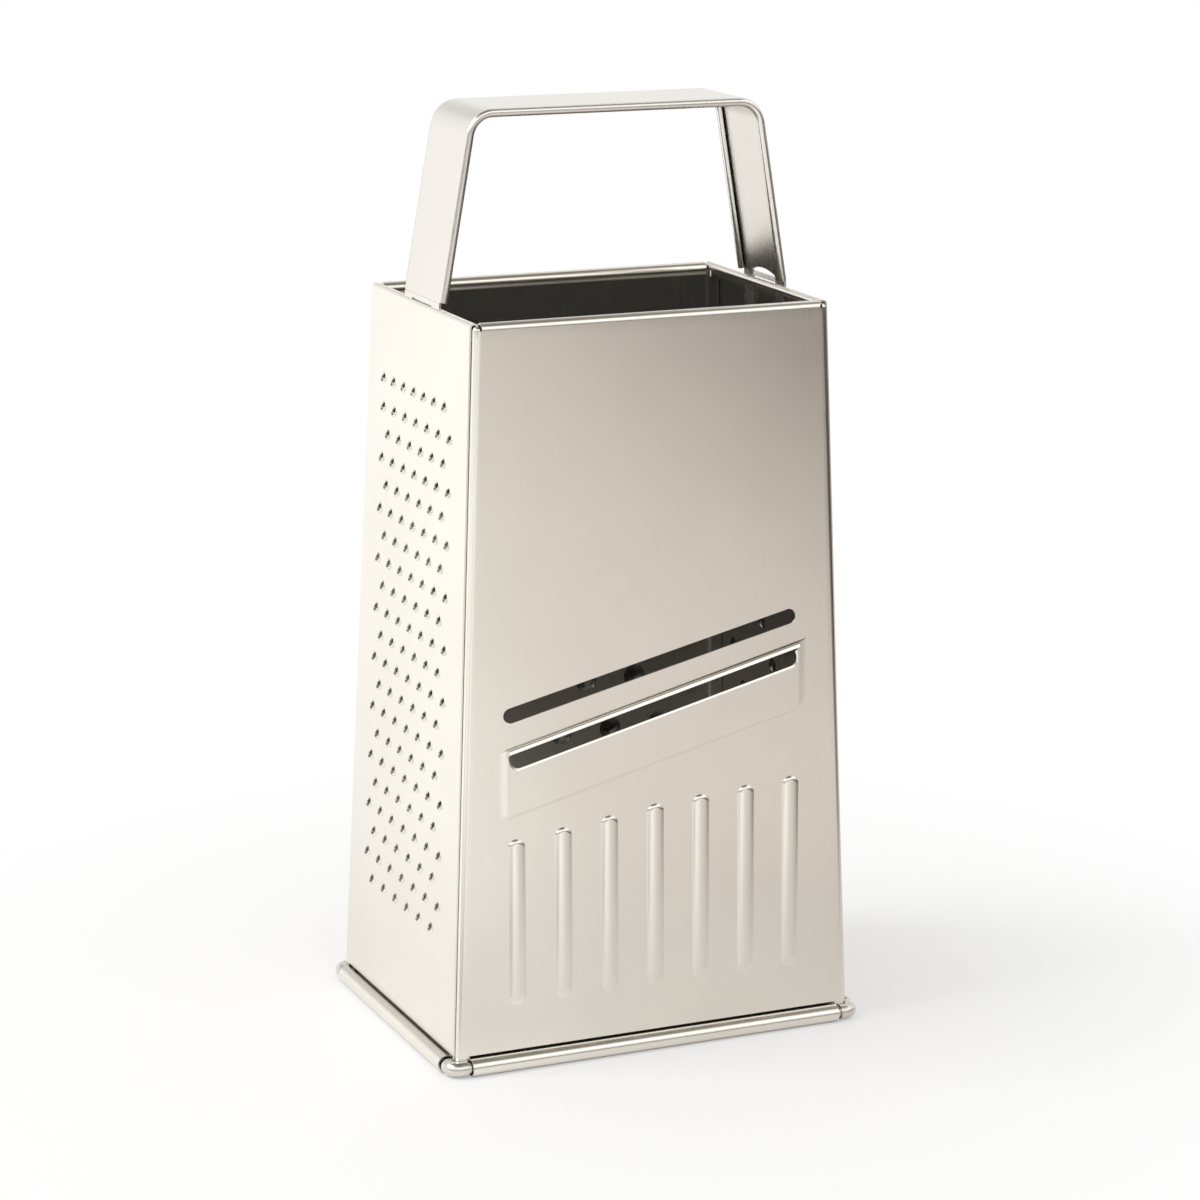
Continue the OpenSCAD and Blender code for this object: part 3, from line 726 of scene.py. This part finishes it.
def handle(material):
    """The strap with rolled edges, its two bends and its two feet."""
    behind = SHEET + FOOT_GAP / 2
    knee_x = half_wide(RIM_H + KNEE_RISE) - behind * math.cos(LEAN_SIDE)
    knee_z = RIM_H + KNEE_RISE - behind * math.sin(LEAN_SIDE)
    bend_h = TOP_H - HANDLE_BEND_R
    reach = knee_x * math.cos(HANDLE_LEAN) + knee_z * math.sin(HANDLE_LEAN)
    bend_x = (reach - HANDLE_BEND_R - bend_h * math.sin(HANDLE_LEAN)) / math.cos(HANDLE_LEAN)
    leg_top = Vector((bend_x + HANDLE_BEND_R * math.cos(HANDLE_LEAN),
                      bend_h + HANDLE_BEND_R * math.sin(HANDLE_LEAN)))
    leg_len = (leg_top - Vector((knee_x, knee_z))).length
    flat_len = (ROLL_RISE - KNEE_RISE) / math.cos(HANDLE_LEAN)
    leg_way = Vector((math.sin(HANDLE_LEAN), 0, -math.cos(HANDLE_LEAN)))
    leg_out = Vector((leg_way.z, 0, -leg_way.x))
    foot_way = Vector((math.sin(LEAN_SIDE), 0, -math.cos(LEAN_SIDE)))

    # Section across the middle of the grip
    piece = rectangle("handle", -MM, 0, -ROLL_Y, ROLL_Y, TOP_H)
    choose(lambda p: p.x < -EPS)
    bpy.ops.mesh.delete(type="VERT")
    for side in (-1, 1):
        choose(lambda p: side * p.y > ROLL_Y - EPS)
        bpy.ops.mesh.spin(steps=ROLL_STEPS, angle=math.radians(270),
                          center=(0, side * ROLL_Y, TOP_H - ROLL_R), axis=(side, 0, 0))
    bpy.ops.mesh.select_all(action="SELECT")
    pull(bend_x, 0, 0)
    bpy.ops.mesh.spin(steps=ROLL_STEPS, angle=math.pi / 2 - HANDLE_LEAN, center=(bend_x, 0, bend_h),
                      axis=(0, -1, 0))
    pull(*(leg_way * (leg_len - flat_len)))

    # The rolled edges end above the knee, and the flat strap alone goes on
    end = Vector((knee_x, 0, knee_z)) - leg_way * flat_len
    choose(lambda p: (p - end).dot(leg_way) > -EPS and abs(p.y) < ROLL_Y + EPS
           and abs((p - end).dot(leg_out)) < EPS)
    pull(*(leg_way * flat_len))
    pull(*(foot_way * (KNEE_RISE + FOOT_LEN)))
    bpy.ops.object.mode_set(mode="OBJECT")
    apply(piece, "MIRROR", merge_threshold=EPS)
    face_up(piece)
    thicken(piece, STRAP)

    # The arch in the right foot, and the slot in both feet that lets the rolled rim pass
    only()
    arch_r = ARCH_W * ARCH_ROUND
    bpy.ops.mesh.primitive_circle_add(vertices=192, radius=arch_r, fill_type="NGON",
                                      location=(RIM_H + ARCH_H - arch_r, 0, 0))
    arch = bpy.context.object
    bpy.ops.object.transform_apply(location=True)
    edit(arch)
    for side in (-1, 1):
        slice_at((0, side * ARCH_W / 2, 0), (0, side, 0), clear_outer=True)
    slice_at((RIM_H + RIM_CLEAR - MM, 0, 0), (-1, 0, 0), clear_outer=True)
    slot = rectangle("slot", RIM_H - FOOT_LEN - FOOT_CUT, RIM_H + RIM_CLEAR, -ARCH_W / 2, ARCH_W / 2)
    for cutter, length in ((arch, BASE_W / 2), (slot, BASE_W)):
        edit(cutter)
        bpy.ops.transform.translate(value=(0, 0, -BASE_W / 2))
        pull(0, 0, length)
        close_up(cutter)
        place(cutter, Matrix.Rotation(-math.pi / 2, 4, "Y"))
        combine(piece, cutter, "DIFFERENCE")
    combine(piece, foot_strip("right_panel"), "UNION")
    for side in ("left_panel", "right_panel"):
        combine(piece, crease(side), "DIFFERENCE")
    finish_piece(piece, "handle", material, 30)
    piece.name = "handle_strap"


# Materials

def add(tree, kind, settings=(), inputs=()):
    """Adds a shader node; each of its inputs takes a value, or the output that feeds it."""
    node = tree.nodes.new(kind)
    for name, value in dict(settings).items():
        setattr(node, name, value)
    for name, value in dict(inputs).items():
        if isinstance(value, bpy.types.NodeSocket):
            tree.links.new(value, node.inputs[name])
        else:
            node.inputs[name].default_value = value
    return node


def numbers(tree, operation, first, second):
    """One step of arithmetic with two numbers."""
    return add(tree, "ShaderNodeMath", {"operation": operation}, {0: first, 1: second}).outputs["Value"]


def vectors(tree, operation, inputs, result="Vector"):
    """One step of arithmetic with vectors."""
    return add(tree, "ShaderNodeVectorMath", {"operation": operation}, inputs).outputs[result]


def span(tree, value, low, high, to_low=0, to_high=1, settings=()):
    """Maps what lies between two limits to what lies between two others."""
    limits = {"Value": value, "From Min": low, "From Max": high, "To Min": to_low, "To Max": to_high}
    return add(tree, "ShaderNodeMapRange", settings, limits).outputs["Result"]


def blend(tree, factor, first, second, how="MIX"):
    """Mixes two colours."""
    kinds = {"data_type": "RGBA", "blend_type": how}
    return add(tree, "ShaderNodeMix", kinds, {"Factor": factor, "A": first, "B": second}).outputs["Result"]


def ramp(tree, value, stops):
    """A colour ramp; each stop has its place and a grey or a colour."""
    node = add(tree, "ShaderNodeValToRGB", inputs={"Fac": value})
    elements = node.color_ramp.elements
    while len(elements) < len(stops):
        elements.new(0.5)
    for element, (position, tone) in zip(elements, stops):
        element.position = position
        element.color = (*tone, 1) if hasattr(tone, "__len__") else (tone, tone, tone, 1)
    return node.outputs["Color"]


def paint_inside_shade(tree, spot, shade, inner, wall):
    """Paints shade on what faces the middle of the tower, up to the rolled rim. In front of a wall's outer
    face, what faces inwards, the hollow of a burr, gets darker painted shade still."""
    normal = add(tree, "ShaderNodeNewGeometry").outputs["True Normal"]
    # Painted shade: the colour is multiplied down, a little cooler, where the surface faces the middle of
    # the tower below the rim
    level = vectors(tree, "MULTIPLY", {0: spot, 1: (1, 1, 0)})
    facing = vectors(tree, "DOT_PRODUCT", {0: normal, 1: level}, "Value")
    outside = span(tree, facing, -INSIDE_SHADE_FADE, 0)
    height = add(tree, "ShaderNodeSeparateXYZ", inputs={"Vector": spot}).outputs["Z"]
    rim_low = RIM_H - 2 * WIDE_HEM_R
    rim = span(tree, height, rim_low - RIM_SHADE_FADE, rim_low + RIM_SHADE_FADE)
    unshaded = numbers(tree, "MAXIMUM", outside, rim)
    inside_shade_colour = blend(tree, unshaded, (0.95 * inner, 0.97 * inner, inner, 1), WHITE)
    shade = vectors(tree, "MULTIPLY", {0: shade, 1: inside_shade_colour})
    if not wall:
        return shade
    # Painted shade: surfaces in front of the wall's outer face that face inwards take a flat dark tone
    out, plane = wall
    tests = []
    for source, limit, how in ((spot, plane - HOLLOW_SHADE_BAND, "GREATER_THAN"),
                               (normal, HOLLOW_SHADE_TURN, "LESS_THAN")):
        along_wall = vectors(tree, "DOT_PRODUCT", {0: source, 1: out}, "Value")
        tests.append(numbers(tree, how, along_wall, limit))
    return blend(tree, numbers(tree, "MULTIPLY", *tests), shade, HOLLOW_SHADE_TONE)


def steel(name, colour, rough, grain, bump=0.12, inner=1.0, wall=None):
    """Brushed stainless sheet: fine grain along one direction, soft clouds of tone, and painted shade in
    creases and gaps; with inner below one, painted shade inside the tower as well.
    """
    material = bpy.data.materials.new(name)
    material.use_nodes = True
    tree = material.node_tree
    shader = tree.nodes["Principled BSDF"]
    shader.inputs["Metallic"].default_value = 1
    spot = add(tree, "ShaderNodeTexCoord").outputs["Object"]
    along = add(tree, "ShaderNodeMapping", inputs={"Vector": spot, "Scale": grain}).outputs["Vector"]
    lines = add(tree, "ShaderNodeTexNoise",
                inputs={"Vector": along, "Scale": 1, "Detail": 4, "Roughness": 0.6}).outputs["Fac"]
    clouds = add(tree, "ShaderNodeTexNoise",
                 inputs={"Vector": spot, "Scale": 45, "Detail": 3}).outputs["Fac"]
    dark, light = [(*(min(1, share * c) for c in colour), 1) for share in CLOUD_SHARES]
    tone = blend(tree, clouds, dark, light)
    # Painted shade: ambient occlusion darkens the colour in creases, hems and the gaps between parts
    crease_shade = add(tree, "ShaderNodeAmbientOcclusion", {"samples": 6}, {"Distance": CREASE_SHADE_REACH})
    crease_shade_factor = span(tree, crease_shade.outputs["AO"], 0.1, 0.5, to_low=0.04)
    shade = vectors(tree, "SCALE", {0: tone, "Scale": crease_shade_factor})
    if inner < 1:
        shade = paint_inside_shade(tree, spot, shade, inner, wall)
    tree.links.new(shade, shader.inputs["Base Color"])
    blur = span(tree, lines, 0.3, 0.7, *(rough * share for share in GRAIN_SHARES))
    tree.links.new(blur, shader.inputs["Roughness"])
    relief = add(tree, "ShaderNodeBump", inputs={"Strength": bump, "Distance": GRAIN_DEEP, "Height": lines})
    tree.links.new(relief.outputs["Normal"], shader.inputs["Normal"])
    return material


# Studio

def camera():
    """The photograph's view: eye, aim, roll and lens."""
    aim = Vector((1.28, 0, 97.95)) * MM
    azimuth, elevation, roll = math.radians(24), math.radians(14.12), math.radians(0.43)
    distance = 875.2 * MM
    ahead = Vector((math.sin(azimuth) * math.cos(elevation), math.cos(azimuth) * math.cos(elevation),
                    -math.sin(elevation)))
    right = Vector((math.cos(azimuth), -math.sin(azimuth), 0))
    above = right.cross(ahead)
    turned_right = right * math.cos(roll) + above * math.sin(roll)
    turned_above = above * math.cos(roll) - right * math.sin(roll)
    data = bpy.data.cameras.new("camera")
    data.lens = 112.38
    data.sensor_width = 36
    data.clip_start = 0.01
    data.clip_end = 20
    eye = bpy.data.objects.new("camera", data)
    eye.matrix_world = Matrix.Translation(aim - ahead * distance) @ Matrix(
        (turned_right, turned_above, -ahead)).transposed().to_4x4()
    bpy.context.scene.collection.objects.link(eye)
    bpy.context.scene.camera = eye


def room():
    """What surrounds the grater: white to the camera; to the metal, soft boxes with dark gaps."""
    world = bpy.data.worlds.new("room")
    bpy.context.scene.world = world
    world.use_nodes = True
    tree = world.node_tree
    way = add(tree, "ShaderNodeTexCoord").outputs["Generated"]
    parts = add(tree, "ShaderNodeSeparateXYZ", inputs={"Vector": way}).outputs
    height = span(tree, parts["Z"], -1, 1)
    dark, gap = (0.28, 0.255, 0.22), (0.2, 0.185, 0.16)
    front = ramp(tree, height, ((0.5, dark), (0.57, dark), (0.64, 0.9), (0.7, 1.35), (0.86, 1.35),
                                (0.93, gap), (1, gap)))
    back = ramp(tree, height, ((0.5, 1.1), (0.68, 0.95), (0.7, 0.85), (0.725, 0.3), (0.76, 0.85),
                               (0.9, 1.0), (0.95, gap), (1, gap)))
    around = blend(tree, span(tree, parts["Y"], -0.3, 0.3), front, back)
    seen = blend(tree, add(tree, "ShaderNodeLightPath").outputs["Is Camera Ray"], around, WHITE)
    tree.links.new(seen, tree.nodes["Background"].inputs["Color"])


def floor():
    """A pale floor: it takes the shadow near the grater and runs out to white.
    The metal sees it darken to the right."""
    only()
    bpy.ops.mesh.primitive_plane_add(size=8)
    piece = bpy.context.object
    piece.name = "floor"
    material = bpy.data.materials.new("pale floor")
    material.use_nodes = True
    tree = material.node_tree
    tree.nodes.remove(tree.nodes["Principled BSDF"])
    spot = add(tree, "ShaderNodeTexCoord").outputs["Object"]
    parts = add(tree, "ShaderNodeSeparateXYZ", inputs={"Vector": spot}).outputs
    paint = add(tree, "ShaderNodeBsdfDiffuse", inputs={"Color": (0.9, 0.9, 0.9, 1)})
    far = vectors(tree, "LENGTH", {0: spot}, "Value")
    fade = span(tree, far, 0.05, 0.22, to_low=0.38, settings={"interpolation_type": "SMOOTHSTEP"})
    aside = vectors(tree, "DOT_PRODUCT", {0: spot, 1: (1, 0.3, 0)}, "Value")
    tones = ramp(tree, span(tree, aside, -0.5, 0.5), (
        (0.36, 1.25), (0.44, 1.06), (0.5, (0.84, 0.795, 0.775)), (0.6, (0.77, 0.72, 0.7)),
        (0.64, (0.74, 0.69, 0.665)), (0.68, (0.59, 0.545, 0.52)), (0.74, (0.3, 0.27, 0.26)),
        (0.82, (0.24, 0.215, 0.205)), (0.96, (0.06, 0.052, 0.05))))

    # A darker strip in front, on the left, for the upright corner
    strip = ramp(tree, span(tree, parts["X"], -0.5, 0.5), (
        (0, 0.95), (0.3, 0.85), (0.38, 0.7), (0.415, 0.45), (0.445, 1)))
    ahead = span(tree, parts["Y"], -0.06, -0.04, 1, 0)
    close = span(tree, parts["Y"], -0.22, -0.08, 1, 0.68)
    darker = blend(tree, ahead, tones, vectors(tree, "SCALE", {0: strip, "Scale": close}), "MULTIPLY")

    # Only what the metal reflects has these tones; to all else the glow is white
    shown = blend(tree, add(tree, "ShaderNodeLightPath").outputs["Is Glossy Ray"], WHITE, darker)
    glow = add(tree, "ShaderNodeEmission", inputs={"Color": shown})
    mixed = add(tree, "ShaderNodeMixShader",
                inputs={"Fac": fade, 1: paint.outputs["BSDF"], 2: glow.outputs["Emission"]})
    tree.links.new(mixed.outputs["Shader"], tree.nodes["Material Output"].inputs["Surface"])
    piece.data.materials.append(material)


def lamp(name, position, size, power):
    """A soft box that looks at the middle of the grater."""
    data = bpy.data.lights.new(name, "AREA")
    data.shape = "SQUARE"
    data.size = size
    data.energy = power
    light = bpy.data.objects.new(name, data)
    light.location = position
    light.rotation_euler = (Vector((0, 0, 0.1)) - Vector(position)).to_track_quat("-Z", "Y").to_euler()
    bpy.context.scene.collection.objects.link(light)


bpy.context.scene.view_settings.view_transform = "Standard"
camera()
room()
floor()
lamp("key", (-1.3, 0.2, 1.2), 0.9, 14)

PANELS = (
    ("front_panel", front_panel, "slicing side steel"),
    ("left_panel", left_panel, "fine side steel"),
    ("back_panel", back_panel, "coarse side steel"),
    ("right_panel", right_panel, "medium side steel"),
)
# Each wall gets painted shade inside the tower, and all but the front also in the hollows of their burrs or
# scoops
for panel, build, title in PANELS:
    wall_face = None if panel == "front_panel" else outer_face(panel)
    build(steel(title, SHEET_COLOUR, 0.22, UPRIGHT_GRAIN, inner=0.72, wall=wall_face))
base_wire(steel("drawn wire", WIRE_COLOUR, 0.26, WIRE_GRAIN, bump=0.04))
handle(steel("strap steel", STRAP_COLOUR, 0.27, STRAP_GRAIN, bump=0.06))
